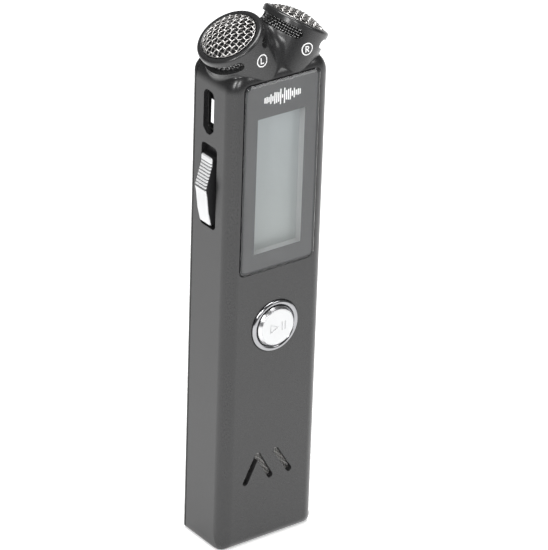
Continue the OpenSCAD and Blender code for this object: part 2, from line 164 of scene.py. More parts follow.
class Nodes:
    """A node material being built."""

    def __init__(self, name):
        self.material = bpy.data.materials.new(name)
        self.material.use_nodes = True
        self.tree = self.material.node_tree
        self.tree.nodes.clear()
        self.output = self.add("ShaderNodeOutputMaterial")
        self.place = self.add("ShaderNodeTexCoord").outputs["Object"]

    def add(self, kind, **values):
        node = self.tree.nodes.new(kind)
        for name, value in values.items():
            setattr(node, name, value)
        return node

    def link(self, a, b):
        self.tree.links.new(a, b)

    def shader(self, **values):
        node = self.add("ShaderNodeBsdfPrincipled")
        for name, value in values.items():
            node.inputs[name.replace("_", " ")].default_value = value
        self.link(node.outputs[0], self.output.inputs["Surface"])
        return node

    def noise(self, size, detail=2.0, stretch=(1, 1, 1)):
        """Noise whose blotches are about size millimetres across."""
        node = self.add("ShaderNodeTexNoise")
        node.inputs["Scale"].default_value = 1 / (size * MM)
        node.inputs["Detail"].default_value = detail
        place = self.place
        if stretch != (1, 1, 1):
            scaled = self.add("ShaderNodeMapping")
            scaled.inputs["Scale"].default_value = stretch
            self.link(place, scaled.inputs["Vector"])
            place = scaled.outputs[0]
        self.link(place, node.inputs["Vector"])
        return node.outputs["Fac"]

    def span(self, source, low, high, start=0.3, end=0.7):
        """source, stretched from start..end to low..high."""
        node = self.add("ShaderNodeMapRange")
        for name, value in (("From Min", start), ("From Max", end), ("To Min", low), ("To Max", high)):
            node.inputs[name].default_value = value
        self.link(source, node.inputs["Value"])
        return node.outputs[0]

    def two_tone(self, source, dark, light):
        node = self.add("ShaderNodeMix", data_type="RGBA")
        node.inputs["A"].default_value = (*dark, 1)
        node.inputs["B"].default_value = (*light, 1)
        self.link(source, node.inputs["Factor"])
        return node.outputs["Result"]

    def bump(self, shader, source, height):
        """Bumps of that height in millimetres."""
        node = self.add("ShaderNodeBump")
        node.inputs["Strength"].default_value = 1.0
        node.inputs["Distance"].default_value = height * MM
        self.link(source, node.inputs["Height"])
        self.link(node.outputs[0], shader.inputs["Normal"])


def shade(colour, factor):
    return tuple(min(1.0, c * factor) for c in colour)


def moulded(name, colour, roughness, grain=0.12, height=0.002, spread=0.06, **values):
    """Moulded plastic: a fine grain, and slight changes of tone and gloss."""
    m = Nodes(name)
    shader = m.shader(Roughness=roughness, **values)
    broad = m.noise(9.0, detail=3.0)
    m.link(m.two_tone(m.span(broad, 0, 1), shade(colour, 1 - spread), shade(colour, 1 + spread)),
           shader.inputs["Base Color"])
    fine = m.noise(grain, detail=1.0)
    m.link(m.span(fine, roughness - 0.03, roughness + 0.03), shader.inputs["Roughness"])
    m.bump(shader, fine, height)
    return m.material


def metal(name, colour, roughness, grain=0.3, height=0.0006, stretch=(1, 1, 1), spread=0.05, metallic=1.0):
    """Metal with faint polishing marks, and slight changes of tone."""
    m = Nodes(name)
    shader = m.shader(Roughness=roughness, Metallic=metallic)
    broad = m.noise(2.5, detail=3.0)
    m.link(m.two_tone(m.span(broad, 0, 1), shade(colour, 1 - spread), shade(colour, 1 + spread)),
           shader.inputs["Base Color"])
    marks = m.noise(grain, detail=2.0, stretch=stretch)
    m.link(m.span(marks, roughness * 0.75, roughness * 1.25), shader.inputs["Roughness"])
    m.bump(shader, marks, height)
    return m.material


def clear_pane(name):
    """Clear acrylic that lets the light through, with a hard-coated face and faint haze."""
    m = Nodes(name)
    gloss = m.add("ShaderNodeBsdfAnisotropic")
    gloss.inputs["Color"].default_value = (1, 1, 1, 1)
    m.link(m.span(m.noise(4.0), 0.03, 0.07), gloss.inputs["Roughness"])
    through = m.add("ShaderNodeBsdfTransparent")
    through.inputs["Color"].default_value = (0.97, 0.975, 0.975, 1)
    edge = m.add("ShaderNodeFresnel")
    edge.inputs["IOR"].default_value = 1.45
    outer = m.span(m.add("ShaderNodeNewGeometry").outputs["Backfacing"], 1, 0, 0, 1)
    amount = m.add("ShaderNodeMath", operation="MULTIPLY")
    m.link(edge.outputs[0], amount.inputs[0])
    m.link(outer, amount.inputs[1])
    both = m.add("ShaderNodeMixShader")
    m.link(amount.outputs[0], both.inputs["Fac"])
    m.link(through.outputs[0], both.inputs[1])
    m.link(gloss.outputs[0], both.inputs[2])
    m.link(both.outputs[0], m.output.inputs["Surface"])
    return m.material


def display_glass(name, view_low, view_high):
    """Blank liquid-crystal display: grey-green, a little bluer and lighter towards its top, with a faint
    painted glow that lifts the shade inside the window.
    """
    m = Nodes(name)
    # The faint emission is painted light: a glow that lifts the shade the display frame casts on the panel.
    shader = m.shader(Roughness=0.35, Emission_Color=(0.9, 0.95, 0.94, 1), Emission_Strength=0.10)
    axes = m.add("ShaderNodeSeparateXYZ")
    m.link(m.place, axes.inputs[0])
    height = m.span(axes.outputs["Z"], 0, 1, view_low * MM, view_high * MM)
    m.link(m.two_tone(height, (0.20, 0.215, 0.21), (0.20, 0.22, 0.23)), shader.inputs["Base Color"])
    m.bump(shader, m.noise(0.25), 0.0008)
    return m.material


def socket_shell_painted_shade(name, mouth):
    """Nickel shell: bright at its flared mouth, and painted dark inside as shade in the deep opening."""
    m = Nodes(name)
    shader = m.shader(Roughness=0.35, Metallic=0.9)
    axes = m.add("ShaderNodeSeparateXYZ")
    m.link(m.place, axes.inputs[0])
    # Past the mouth the same nickel is painted near-black: painted shade for the inside of the opening.
    inside = m.span(axes.outputs["X"], 0, 1, mouth * MM, (mouth + 0.15) * MM)
    m.link(m.two_tone(inside, (0.88, 0.88, 0.88), (0.05, 0.05, 0.05)), shader.inputs["Base Color"])
    m.bump(shader, m.noise(0.2), 0.0006)
    return m.material


def laminate(name):
    """Green circuit board, with the darker paths of its copper showing through."""
    m = Nodes(name)
    shader = m.shader(Roughness=0.4)
    paths = m.add("ShaderNodeTexBrick")
    paths.inputs["Scale"].default_value = 400
    paths.inputs["Color1"].default_value = (0.012, 0.085, 0.035, 1)
    paths.inputs["Color2"].default_value = (0.02, 0.12, 0.05, 1)
    paths.inputs["Mortar"].default_value = (0.04, 0.19, 0.08, 1)
    paths.inputs["Mortar Size"].default_value = 0.03
    m.link(m.place, paths.inputs["Vector"])
    m.link(paths.outputs["Color"], shader.inputs["Base Color"])
    m.bump(shader, paths.outputs["Fac"], 0.01)
    return m.material


CASE = moulded("case_plastic", (0.016, 0.016, 0.0165), 0.28, Coat_Weight=0.1, Coat_Roughness=0.15)
LENS = clear_pane("lens_clear")
MASK = moulded("mask_print", (0.054, 0.055, 0.057), 0.6, spread=0.02, height=0.0)
FRAME_PLASTIC = moulded("frame_plastic", (0.36, 0.365, 0.365), 0.5)
SILVER = moulded("silver_paint", (0.62, 0.625, 0.63), 0.32, grain=0.06, height=0.0008, spread=0.02,
                 Metallic=0.25)
CHROME = metal("bright_chrome", (0.32, 0.32, 0.33), 0.12)
BEZEL = metal("bezel_chrome", (0.58, 0.58, 0.59), 0.22)
WIRE = metal("steel_wire", (0.46, 0.45, 0.44), 0.3, grain=0.1)
# Darker copy of the steel wire: painted shade for the wire sleeve sitting inside the acoustic slots.
SLOT_WIRE_PAINTED_SHADE = metal("wire_painted_shade", (0.22, 0.22, 0.22), 0.3, grain=0.1)
STEEL = metal("screw_steel", (0.30, 0.30, 0.31), 0.3)
PLATE = metal("silver_plate", (0.70, 0.71, 0.72), 0.25, stretch=(1, 6, 1))
BLACK = moulded("black_plastic", (0.012, 0.012, 0.013), 0.45)
RUBBER = moulded("boot_rubber", (0.02, 0.02, 0.021), 0.75, grain=0.3, height=0.01)
FELT = moulded("black_felt", (0.010, 0.010, 0.011), 0.95, grain=0.12, height=0.05)
FOAM = moulded("foam_tape", (0.02, 0.02, 0.022), 0.95, grain=0.25, height=0.04)
NYLON = moulded("cream_nylon", (0.62, 0.58, 0.50), 0.5)
CHIP = moulded("chip_epoxy", (0.018, 0.018, 0.020), 0.55, grain=0.15, height=0.006)
CERAMIC = moulded("part_ceramic", (0.32, 0.24, 0.15), 0.45)
FOIL = metal("cell_foil", (0.62, 0.63, 0.66), 0.35, grain=2.0, height=0.02)
TAPE = moulded("tape_film", (0.75, 0.70, 0.52), 0.5, grain=0.8, height=0.004)
FLEX = metal("flex_film", (0.50, 0.24, 0.06), 0.35, stretch=(1, 8, 1), metallic=0.4)
JACKET = moulded("wire_jacket", (0.35, 0.02, 0.015), 0.4)
BOARD = laminate("board_laminate")
PRINT = moulded("white_print", (0.86, 0.86, 0.86), 0.55, height=0.0, spread=0.01)


# ---------------------------------------------------------------- mesh tools


def new_piece(name, mesh, material, body, slot, replaced=()):
    """Links the mesh as a piece of the object."""
    piece = bpy.data.objects.new(name, mesh)
    bpy.context.scene.collection.objects.link(piece)
    mesh.materials.clear()
    mesh.materials.append(material)
    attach(piece, body)
    if replaced:
        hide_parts(*replaced)
    return piece


def mesh_from(name, points, faces):
    """Mesh from points in millimetres."""
    mesh = bpy.data.meshes.new(name)
    mesh.from_pydata((np.asarray(points, float) * MM).tolist(), [], [list(f) for f in faces])
    mesh.validate()
    mesh.update()
    return mesh


def contour(field, xs, ys, zs):
    """Points and quads of the surface where field is 0, over a grid. Edges that are sharp stay sharp.

    Each grid cell that the surface crosses gets one point, where the planes through its crossings meet.
    """
    lines = (xs, ys, zs)
    grid = np.stack(np.meshgrid(*lines, indexing="ij"), -1)
    value = field(grid)
    inside = value < 0
    cells = np.array(value.shape) - 1
    sums = np.zeros((int(cells.prod()), 13))
    loops = []
    for axis in range(3):
        step = np.eye(3, dtype=int)[axis]
        others = [b for b in range(3) if b != axis]
        low = [slice(None)] * 3
        high = [slice(None)] * 3
        low[axis] = slice(0, -1)
        high[axis] = slice(1, None)
        at = np.argwhere(inside[tuple(low)] != inside[tuple(high)])
        keep = np.all([(at[:, b] > 0) & (at[:, b] < cells[b]) for b in others], axis=0)
        at = at[keep]
        a, b = grid[tuple(at.T)], grid[tuple((at + step).T)]
        va, vb = value[tuple(at.T)], value[tuple((at + step).T)]
        rising = va < vb
        point = cross(field, a, b, va, vb)
        normal = slope(field, point)
        push = (normal * point).sum(1)
        row = np.column_stack([
            normal[:, 0] ** 2, normal[:, 0] * normal[:, 1], normal[:, 0] * normal[:, 2],
            normal[:, 1] ** 2, normal[:, 1] * normal[:, 2], normal[:, 2] ** 2,
            normal * push[:, None], point, np.ones(len(point)),
        ])
        corner = []
        for shift in ((0, 0), (1, 0), (1, 1), (0, 1)):
            cell = at.copy()
            cell[:, others[0]] -= shift[0]
            cell[:, others[1]] -= shift[1]
            flat = np.ravel_multi_index(cell.T, cells)
            np.add.at(sums, flat, row)
            corner.append(flat)
        loop = np.column_stack(corner)
        turned = rising if axis != 1 else ~rising
        loops.append(np.where(turned[:, None], loop[:, ::-1], loop))
    used = np.flatnonzero(sums[:, 12])
    s = sums[used]
    count = s[:, 12:13]
    middle = s[:, 9:12] / count
    ata = s[:, [0, 1, 2, 1, 3, 4, 2, 4, 5]].reshape(-1, 3, 3)
    left = s[:, 6:9] - np.einsum("nij,nj->ni", ata, middle)
    size, axes = np.linalg.eigh(ata)
    strong = size > 0.1 * size[:, 2:3]
    inverse = np.where(strong, 1 / np.where(strong, size, 1), 0)
    point = middle + np.einsum("nij,nj,nkj,nk->ni", axes, inverse, axes, left)
    cell = np.column_stack(np.unravel_index(used, cells))
    for axis in range(3):
        low, high = lines[axis][cell[:, axis]], lines[axis][cell[:, axis] + 1]
        point[:, axis] = np.clip(point[:, axis], low, high)
    number = np.zeros(len(sums), int)
    number[used] = np.arange(len(used))
    return point, number[np.vstack(loops)]


def cross(field, a, b, va, vb):
    """The points between a and b where field is 0."""
    for _ in range(4):
        t = np.clip(va / (va - vb), 0.05, 0.95)[:, None]
        middle = a + t * (b - a)
        vm = field(middle)
        same = ((vm < 0) == (va < 0))[:, None]
        a, b = np.where(same, middle, a), np.where(same, b, middle)
        va, vb = np.where(same[:, 0], vm, va), np.where(same[:, 0], vb, vm)
    t = (va / np.where(va == vb, 1, va - vb))[:, None]
    return a + t * (b - a)


def slope(field, point, h=0.004):
    """Unit direction in which field grows."""
    steps = np.eye(3) * h
    g = np.stack([field(point + s) - field(point - s) for s in steps], -1)
    return g / np.maximum(np.linalg.norm(g, axis=-1, keepdims=True), 1e-12)


def spaced(*stretches):
    """Grid lines: each stretch is (start, end, spacing)."""
    parts = [np.linspace(a, b, max(2, round((b - a) / gap) + 1))[:-1] for a, b, gap in stretches]
    return np.concatenate([*parts, [stretches[-1][1]]])


def smooth_min(a, b, k):
    """Smaller of a and b, with a blend as wide as k where they meet."""
    k = np.maximum(k, 1e-6)
    h = np.maximum(k - np.abs(a - b), 0) / k
    return np.minimum(a, b) - h * h * k / 4


def smooth_max(a, b, k):
    return -smooth_min(-a, -b, k)


def ramp(value, low, high):
    t = np.clip((value - low) / (high - low), 0, 1)
    return t * t * (3 - 2 * t)


def cut_by(cutter_mesh, target):
    """Takes the cutter's solid out of the target object's mesh."""
    cutter = bpy.data.objects.new("cutter", cutter_mesh)
    bpy.context.scene.collection.objects.link(cutter)
    modifier = target.modifiers.new("cut", "BOOLEAN")
    modifier.operation = "DIFFERENCE"
    modifier.solver = "EXACT"
    modifier.object = cutter
    apply_modifiers(target)
    bpy.data.objects.remove(cutter)


def apply_modifiers(target):
    depsgraph = bpy.context.evaluated_depsgraph_get()
    result = bpy.data.meshes.new_from_object(target.evaluated_get(depsgraph), depsgraph=depsgraph)
    target.modifiers.clear()
    target.data = result


def arc_outline(low, high, radii, steps=8):
    """Rectangle with its own radius at each corner: lower left, lower right, upper right, upper left."""
    corners = ((low[0], low[1]), (high[0], low[1]), (high[0], high[1]), (low[0], high[1]))
    inward = ((1, 1), (-1, 1), (-1, -1), (1, -1))
    points = []
    for i, (corner, way, r) in enumerate(zip(corners, inward, radii)):
        if r <= 0:
            points.append(corner)
            continue
        for j in range(steps + 1):
            angle = math.radians(180 + 90 * i + 90 * j / steps)
            points.append((corner[0] + way[0] * r + r * math.cos(angle),
                           corner[1] + way[1] * r + r * math.sin(angle)))
    return points


def bar_outline(a, b, width, steps=12):
    """Bar with round ends, between the points a and b."""
    a, b = np.array(a, float), np.array(b, float)
    heading = math.atan2(*(b - a)[::-1])
    points = []
    for end, start in ((b, -90), (a, 90)):
        for j in range(steps + 1):
            angle = heading + math.radians(start + 180 * j / steps)
            points.append((end[0] + width / 2 * math.cos(angle), end[1] + width / 2 * math.sin(angle)))
    return points


def circle_outline(at, r, steps=96):
    turn = np.linspace(0, 2 * math.pi, steps, endpoint=False)
    return [(at[0] + r * math.cos(t), at[1] + r * math.sin(t)) for t in turn]


def prism(name, outline, axis, low, high):
    """Solid of an outline, from low to high along x, y or z."""
    n = len(outline)
    place = {"x": lambda u, v, d: (d, u, v),
             "y": lambda u, v, d: (u, d, v),
             "z": lambda u, v, d: (u, v, d)}[axis]
    points = [place(u, v, d) for d in (low, high) for u, v in outline]
    faces = [list(range(n))[::-1], list(range(n, 2 * n))]
    faces += [[i, (i + 1) % n, n + (i + 1) % n, n + i] for i in range(n)]
    mesh = mesh_from(name, points, faces)
    return outward(mesh)


def outward(mesh):
    bm = bmesh.new()
    bm.from_mesh(mesh)
    bmesh.ops.recalc_face_normals(bm, faces=bm.faces)
    bm.to_mesh(mesh)
    bm.free()
    return mesh


def shade_by_angle(mesh, degrees):
    mesh.shade_smooth()
    mesh.set_sharp_from_angle(angle=math.radians(degrees))


def even_shading(piece):
    """Flat faces keep flat shading up to their rounded edges."""
    modifier = piece.modifiers.new("even shading", "WEIGHTED_NORMAL")
    modifier.keep_sharp = True
    modifier.weight = 100
    return piece


def softened(node, name, material, slot, width, segments=2, body=None, angle=35):
    """Copy of a CAD node with its sharp edges rounded."""
    source = frame["nodes"][node]
    mesh = source.data.copy()
    mesh.name = name
    bm = bmesh.new()
    bm.from_mesh(mesh)
    bmesh.ops.remove_doubles(bm, verts=bm.verts, dist=1e-6)
    bmesh.ops.dissolve_limit(bm, angle_limit=math.radians(0.6), verts=bm.verts, edges=bm.edges)
    sharp = [e for e in bm.edges if e.is_manifold and e.calc_face_angle(0) > math.radians(angle)]
    bmesh.ops.bevel(bm, geom=sharp, offset=width * MM, segments=segments, profile=0.5, affect="EDGES",
                    clamp_overlap=True)
    bm.to_mesh(mesh)
    bm.free()
    shade_by_angle(mesh, 40)
    piece = new_piece(name, mesh, material, body or source["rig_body"], slot, (node,))
    return even_shading(piece)


# ---------------------------------------------------------------- case moulding


def to_mic(p, side):
    """A point in a microphone's own frame: outward, sideways, and along its axis."""
    dx = side * p[..., 0] - MIC_AT[0]
    dy = p[..., 1] - MIC_AT[1]
    dz = p[..., 2] - MIC_AT[2]
    c, s = math.cos(MIC_TILT), math.sin(MIC_TILT)
    return dx * c - dz * s, dy, dx * s + dz * c


def from_mic(local, side):
    """The reverse of to_mic, for points in rows."""
    a, b, axial = np.asarray(local, float).T
    c, s = math.cos(MIC_TILT), math.sin(MIC_TILT)
    x = side * (MIC_AT[0] + a * c + axial * s)
    return np.column_stack([x, MIC_AT[1] + b, MIC_AT[2] - a * s + axial * c])


def rounded(u, v, r):
    """Inside of the corner u < 0, v < 0, rounded with radius r."""
    return np.minimum(np.maximum(u + r, v + r), 0) + np.hypot(np.maximum(u + r, 0), np.maximum(v + r, 0)) - r


def case_field(p):
    """The case without its microphones. Its top edge round follows the shoulders; the bottom's is tighter."""
    side, front, top = np.abs(p[..., 0]) - HALF_W, FRONT_Y - p[..., 1], p[..., 2] - BODY_H
    outline = rounded(side + FRONT_R, top + FRONT_R, SHOULDER_R - FRONT_R)
    upper = rounded(outline - FRONT_R, front, FRONT_R)
    foot = rounded(front, -p[..., 2], BOTTOM_FRONT_R)
    lower = rounded(side, foot, BOTTOM_R + (FRONT_R - BOTTOM_R) * ramp(front + p[..., 2], -2.5, 1.5))
    return np.where(p[..., 2] > BODY_H / 2, upper, lower)


def barrel_field(p, side):
    a, b, s = to_mic(p, side)
    return np.maximum(rounded(np.hypot(a, b) - BARREL_R, s, RIM_ROUND), -BARREL_L - s)


def skin_field(p):
    """Outer skin of the moulding: the case, blended into both microphone barrels."""
    depth = ramp(BARREL_R - np.abs(p[..., 1] - MIC_AT[1]), 0, 2.2)
    x = np.abs(p[..., 0])
    barrels = smooth_min(barrel_field(p, 1), barrel_field(p, -1), 2.4 * depth)
    joined = smooth_min(barrels, case_field(p), (2.2 - 1.8 * ramp(x, 3, 8)) * depth)
    return np.maximum(joined, FRONT_Y - p[..., 1])


def mic_cuts_field(p, side):
    """Mouth, bore and acoustic slots of one barrel."""
    a, b, s = to_mic(p, side)
    out = np.hypot(a, b)
    mouth = np.maximum(out - MOUTH_R - np.clip(s + 0.25, 0, 1), -LIP - 0.01 - s)
    bore = np.maximum(out - BORE_R, np.maximum(s + LIP, -BORE_L - s))
    around = np.arctan2(b, np.abs(a)) * BARREL_R
    end = np.maximum(np.abs(around) - (SLOT_ARC * BARREL_R - SLOT_HALF_H), 0)
    wall = np.maximum(BORE_R - 0.3 - out, out - SLOT_OUT)
    slot = np.maximum(np.hypot(end, s - SLOT_MID) - SLOT_HALF_H, wall)
    return np.minimum(np.minimum(mouth, bore), slot)


def moulding_field(p):
    """The whole front moulding: skin, room for the cover, the hollow inside, and the barrels' cuts."""
    x, y, z = p[..., 0], p[..., 1], p[..., 2]
    d = skin_field(p)
    for side in (-1, 1):
        d = smooth_max(d, -mic_cuts_field(p, side), 0.08)
    cover_room = np.maximum(SEAM_Y - y, z - BODY_H - SEAM_GAP)
    hollow = rounded(np.abs(x) - HALF_W + WALL, np.maximum(z - BODY_H + 2.2, WALL - z), 1)
    hollow = np.maximum(hollow, FRONT_Y + WALL - y)
    return np.maximum(d, -np.minimum(cover_room, hollow))


def case_cutters():
    """Solids of the openings in the front, the sides and the bottom."""
    lens_low, lens_high = (LENS_LOW[0], LENS_LOW[2]), (LENS_HIGH[0], LENS_HIGH[2])
    window_low, window_high = (-7, FRAME_LOW[2] + 0.9), (7, FRAME_HIGH[2] - 0.9)
    middle = (0, (RING_LOW[2] + RING_HIGH[2]) / 2)
    ring_r = RING_HIGH[0]
    seat = arc_outline(np.array(lens_low) - LENS_GAP, np.array(lens_high) + LENS_GAP, [1.3] * 4)
    yield prism("lens seat", seat, "y", FRONT_Y - 1, FRONT_Y + 0.6)
    yield prism("window", arc_outline(window_low, window_high, [0.5] * 4, 4), "y", FRONT_Y - 1, FRONT_Y + 3)
    yield prism("ring seat", circle_outline(middle, ring_r + 0.07), "y", FRONT_Y - 1, FRONT_Y + 0.65)
    yield prism("button hole", circle_outline(middle, ring_r - 1.05), "y", FRONT_Y - 1, FRONT_Y + 3)
    for ends in SPEAKER_SLOTS:
        yield prism("speaker slot", bar_outline(*ends, SLOT_W), "y", FRONT_Y - 1, FRONT_Y + 3)
    yield prism("usb opening", usb_outline(), "x", -HALF_W - 1, -HALF_W + 3)
    half = OPENING_W / 2
    yield prism("slider opening",
                arc_outline((OPENING_Y - half, OPENING_Z[0]), (OPENING_Y + half, OPENING_Z[1]), [0.9] * 4),
                "x", -HALF_W - 1, -HALF_W + 3)
    for key in ("volume_key", "next_key", "previous_key", "menu_key"):
        low, high = box_mm(key)
        y, width = (low[1] + high[1]) / 2, 2.6
        inset = width / 2 - 0.1 + 0.4
        yield prism("key hole", bar_outline((y, low[2] + inset + 0.1), (y, high[2] - inset - 0.1), width),
                    "x", HALF_W - 3, HALF_W + 1)
    low, high = box_mm("headphone_jack")
    yield prism("jack hole", circle_outline((0, (low[1] + high[1]) / 2), 2.45), "z", -1, 3)


def usb_outline():
    """USB opening: round at the top, tapered at the bottom."""
    low, high = (USB_LOW[1] - 0.12, USB_LOW[2] - 0.65), (USB_HIGH[1] + 0.05, USB_HIGH[2] + 0.65)
    middle = (low[0] + high[0]) / 2
    top = arc_outline(low, high, [0, 0, 1.2, 1.2])[2:]
    return [(middle - 0.5, low[1]), (middle + 0.5, low[1]), (high[0], low[1] + 1), *top, (low[0], low[1] + 1)]


def bevel_openings(mesh, width):
    """Rounds the edges where an opening meets the outer skin, and where the slots break through."""
    bm = bmesh.new()
    bm.from_mesh(mesh)
    bmesh.ops.remove_doubles(bm, verts=bm.verts, dist=2e-6)
    places = np.array([v.co for v in bm.verts]) / MM
    outside = np.abs(skin_field(places)) < 0.01
    bm.verts.index_update()
    chosen = []
    for e in bm.edges:
        if not e.is_manifold or not all(outside[v.index] for v in e.verts):
            continue
        if e.calc_face_angle(0) > math.radians(55):
            chosen.append(e)
    bmesh.ops.bevel(bm, geom=chosen, offset=width * MM, segments=2, profile=0.5, affect="EDGES",
                    clamp_overlap=True)
    bm.to_mesh(mesh)
    bm.free()


def case_normals(piece):
    """Skin faces take the field's own normals; the rest keep even shading."""
    shade_by_angle(piece.data, 35)
    even_shading(piece)
    apply_modifiers(piece)
    mesh = piece.data
    n_loops = len(mesh.loops)
    normals = np.zeros(n_loops * 3, np.float32)
    mesh.corner_normals.foreach_get("vector", normals)
    normals = normals.reshape(-1, 3)
    vertex = np.zeros(n_loops, np.int32)
    mesh.loops.foreach_get("vertex_index", vertex)
    places = np.zeros(len(mesh.vertices) * 3, np.float32)
    mesh.vertices.foreach_get("co", places)
    places = places.reshape(-1, 3).astype(float) / MM
    face_normals = np.zeros(len(mesh.polygons) * 3, np.float32)
    mesh.polygons.foreach_get("normal", face_normals)
    totals = np.zeros(len(mesh.polygons), np.int32)
    mesh.polygons.foreach_get("loop_total", totals)
    per_loop = np.repeat(face_normals.reshape(-1, 3), totals, axis=0)
    near = np.abs(skin_field(places)) < 0.02
    true = slope(skin_field, places)[vertex]
    on_skin = near[vertex] & ((true * per_loop).sum(1) > math.cos(math.radians(16)))
    normals[on_skin] = true[on_skin]
    mesh.normals_split_custom_set(normals.tolist())


def make_case():
    """The dark moulding: case front, sides and both microphone barrels in one."""
    xs = spaced((-13.2, 13.2, 0.17))
    ys = spaced((-7, 7, 0.17))
    zs = spaced((-0.5, 11, 0.25), (11, 90, 4), (90, 109, 0.17))
    points, faces = contour(moulding_field, xs, ys, zs)
    mesh = mesh_from("case_moulding", points, faces)
    bm = bmesh.new()
    bm.from_mesh(mesh)
    bmesh.ops.remove_doubles(bm, verts=bm.verts, dist=2e-6)
    bmesh.ops.dissolve_limit(bm, angle_limit=math.radians(0.25), verts=bm.verts, edges=bm.edges)
    bm.to_mesh(mesh)
    bm.free()
    piece = new_piece("case_moulding", mesh, CASE, "case", "case_plastic", ("front_shell",))
    for cutter in case_cutters():
        cut_by(cutter, piece)
    bevel_openings(piece.data, 0.14)
    case_normals(piece)
    piece.data.materials.clear()
    piece.data.materials.append(CASE)
    return piece


# ---------------------------------------------------------------- wires and woven meshes


def tube(path, normal, radius, sides=8):
    """Points and faces of a round wire along a path. normal is a direction across it at each point."""
    path, normal = np.asarray(path, float), np.asarray(normal, float)
    along = np.gradient(path, axis=0)
    along /= np.linalg.norm(along, axis=1, keepdims=True)
    across = np.cross(along, normal)
    across /= np.linalg.norm(across, axis=1, keepdims=True)
    up = np.cross(across, along)
    turn = np.linspace(0, 2 * math.pi, sides, endpoint=False)
    section = np.cos(turn)[:, None] * up[:, None] + np.sin(turn)[:, None] * across[:, None]
    rings = path[:, None] + radius * section
    n = len(path)
    faces = []
    for i in range(n - 1):
        for j in range(sides):
            k = (j + 1) % sides
            faces.append((i * sides + j, i * sides + k, (i + 1) * sides + k, (i + 1) * sides + j))
    faces.append(tuple(range(sides))[::-1])
    faces.append(tuple(range((n - 1) * sides, n * sides)))
    return rings.reshape(-1, 3), faces


def joined(parts):
    """One set of points and faces from several."""
    points, faces, start = [], [], 0
    for p, f in parts:
        points.append(p)
        faces += [tuple(i + start for i in face) for face in f]
        start += len(p)
    return np.vstack(points), faces


def weave(surface, reach, pitch, radius, count):
    """Plain weave over surface(u, v) -> (points, normals). reach(u) is how far a wire at u runs each way."""
    parts = []
    for family in (0, 1):
        for i in range(-count, count + 1):
            at = i * pitch
            half = reach(at)
            if half < pitch / 2:
                continue
            run = np.linspace(-half, half, max(8, round(2 * half / pitch * 8)))
            still = np.full_like(run, at)
            u, v = (still, run) if family == 0 else (run, still)
            place, normal = surface(u, v)
            lift = radius * 0.95 * np.cos(math.pi * run / pitch) * (1 if (i + family) % 2 else -1)
            parts.append(tube(place + lift[:, None] * normal, normal, radius))
    return parts


def ring_wire(centre_path, radius, sides=12):
    """Closed ring along a circle of points in a plane z = constant."""
    n = len(centre_path)
    middle = centre_path.mean(0)
    out = centre_path - middle
    out /= np.linalg.norm(out, axis=1, keepdims=True)
    turn = np.linspace(0, 2 * math.pi, sides, endpoint=False)
    up = np.array([0, 0, 1.0])
    section = np.cos(turn)[:, None] * out[:, None] + np.sin(turn)[:, None] * up
    rings = centre_path[:, None] + radius * section
    faces = []
    for i in range(n):
        for j in range(sides):
            k, m = (j + 1) % sides, (i + 1) % n
            faces.append((i * sides + j, m * sides + j, m * sides + k, i * sides + k))
    return rings.reshape(-1, 3), faces


def flat_circle(radius, height, steps=96):
    turn = np.linspace(0, 2 * math.pi, steps, endpoint=False)
    return np.column_stack([radius * np.cos(turn), radius * np.sin(turn), np.full(steps, height)])


def dome_surface(u, v):
    """The wire dome of a microphone: part of a sphere, in the microphone's own frame."""
    sphere_r = (DOME_R ** 2 + DOME_RISE ** 2) / (2 * DOME_RISE)
    height = np.sqrt(sphere_r ** 2 - u ** 2 - v ** 2) - sphere_r + DOME_RISE
    place = np.column_stack([u, v, height])
    normal = place - np.array([0, 0, DOME_RISE - sphere_r])
    return place, normal / np.linalg.norm(normal, axis=1, keepdims=True)


def disc_reach(radius):
    return lambda at: math.sqrt(max(radius ** 2 - at ** 2, 0))


DOME_R = MOUTH_R - 0.12
DOME_PITCH = 0.92
DOME_WIRE = 0.14


def make_microphone(side, word):
    """Wire dome, and the wire sleeve behind the acoustic slots."""
    parts = weave(dome_surface, disc_reach(DOME_R - 0.05), DOME_PITCH, DOME_WIRE, 6)
    parts.append(ring_wire(flat_circle(DOME_R, 0.02), 0.08))
    points, faces = joined(parts)
    mesh = outward(mesh_from(f"wire_dome_{word}", from_mic(points, side), faces))
    shade_by_angle(mesh, 60)
    new_piece(f"wire_dome_{word}", mesh, WIRE, "case", "wire_mesh", (f"mic_mesh_{word}",))

    pitch, radius, sleeve_r = 0.5, 0.11, BORE_R - 0.25
    parts = []
    around = round(2 * math.pi * sleeve_r / pitch / 2) * 2
    low, high = SLOT_MID - 1.25, SLOT_MID + 1.25
    run = np.linspace(low, high, 44)
    for i in range(around):
        turn = 2 * math.pi * i / around
        out = np.array([math.cos(turn), math.sin(turn), 0])
        lift = radius * 0.95 * np.cos(math.pi * run / pitch) * (1 if i % 2 else -1)
        path = (sleeve_r + lift)[:, None] * out + run[:, None] * np.array([0, 0, 1.0])
        parts.append(tube(path, np.tile(out, (len(run), 1)), radius, 6))
    turn = np.linspace(0, 2 * math.pi, around * 8 + 1)
    out = np.column_stack([np.cos(turn), np.sin(turn), np.zeros_like(turn)])
    for j in range(-4, 5):
        height = round(SLOT_MID / pitch) * pitch + j * pitch
        if not low < height < high:
            continue
        sign = 1 if (round(height / pitch) % 2) else -1
        lift = -sign * radius * 0.95 * np.cos(turn * around / 2)
        path = (sleeve_r + lift)[:, None] * out + np.array([0, 0, height])
        parts.append(tube(path, out, radius, 6))
    points, faces = joined(parts)
    mesh = outward(mesh_from(f"slot_wire_{word}", from_mic(points, side), faces))
    shade_by_angle(mesh, 60)
    new_piece(f"slot_wire_{word}", mesh, SLOT_WIRE_PAINTED_SHADE, "case", "wire_mesh", (f"slot_mesh_{word}",))


